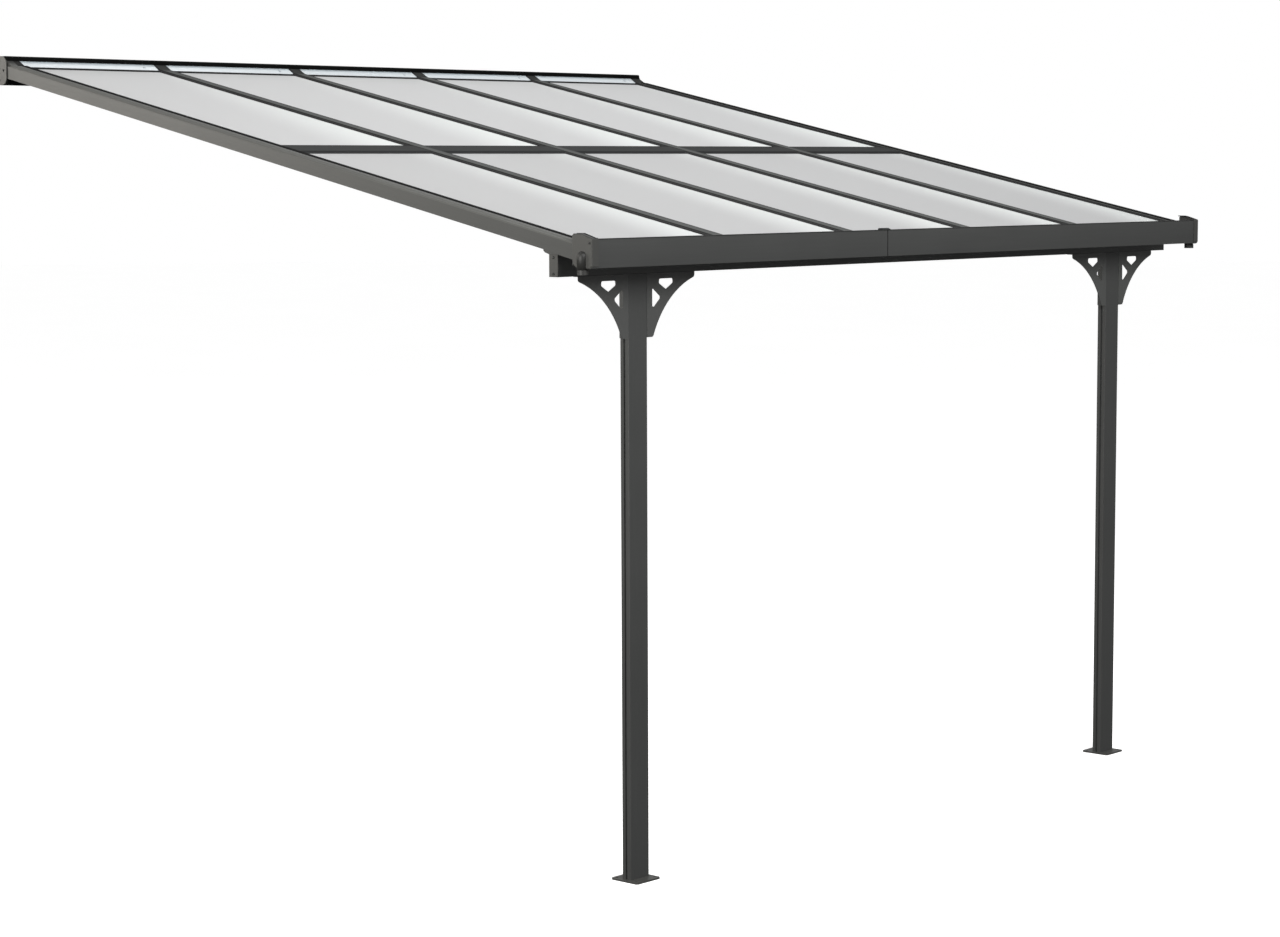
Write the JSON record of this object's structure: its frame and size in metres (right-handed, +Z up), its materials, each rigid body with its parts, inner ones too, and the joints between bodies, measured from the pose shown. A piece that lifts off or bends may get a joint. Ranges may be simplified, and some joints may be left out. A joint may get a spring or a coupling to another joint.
{
  "type": "attached patio cover",
  "caption": "Lean-to patio cover with a wall profile, glazed sloping rafters, a front gutter, and a beam on two slim braced posts.",
  "frame": {"origin": "centre of the wall profile's flat back face, which lies on the house wall; the ground is at z = -2.714 m", "axes": "+Y into the wall, +Z up, +X along the wall to the right as seen by someone who faces the wall; the gutter faces -Y"},
  "size_m": [3.598, 3.0622, 2.7684],
  "materials": {
    "grey_profile": "dark grey powder coat, satin",
    "rafter_metal": "dark grey powder coat, satin",
    "end_plate": "dark grey powder coat, satin",
    "outlet_plastic": "dark grey moulded plastic",
    "roof_panel": "milky translucent sheet",
    "clear_strip": "clear plastic strip"
  },
  "bodies": {
    "root": {"wall_profile": "grey_profile", "panel_top_channels": "grey_profile", "rafter_cover_1": "grey_profile", "rafter_cover_2": "grey_profile", "rafter_cover_3": "grey_profile", "rafter_cover_4": "grey_profile", "rafter_cover_5": "grey_profile", "rafter_cover_6": "grey_profile", "cross_bars": "grey_profile", "gutter_left": "grey_profile", "gutter_right": "grey_profile", "gutter_seam_plate": "grey_profile", "front_beam": "grey_profile", "post_left": "grey_profile", "post_right": "grey_profile", "brace_left_outer": "grey_profile", "brace_left_inner": "grey_profile", "brace_right_inner": "grey_profile", "brace_right_outer": "grey_profile", "post_foot_left": "grey_profile", "post_foot_right": "grey_profile", "rafter_1": "rafter_metal", "rafter_2": "rafter_metal", "rafter_3": "rafter_metal", "rafter_4": "rafter_metal", "rafter_5": "rafter_metal", "rafter_6": "rafter_metal", "rafter_saddles": "rafter_metal", "wall_end_plates": "end_plate", "gutter_end_left": "end_plate", "gutter_end_right": "end_plate", "beam_end_plates": "end_plate", "gutter_outlet_left": "outlet_plastic", "gutter_outlet_right": "outlet_plastic", "panel_upper_1": "roof_panel", "panel_upper_2": "roof_panel", "panel_upper_3": "roof_panel", "panel_upper_4": "roof_panel", "panel_upper_5": "roof_panel", "panel_lower_1": "roof_panel", "panel_lower_2": "roof_panel", "panel_lower_3": "roof_panel", "panel_lower_4": "roof_panel", "panel_lower_5": "roof_panel", "wall_flashing": "clear_strip"}
  },
  "joints": []
}
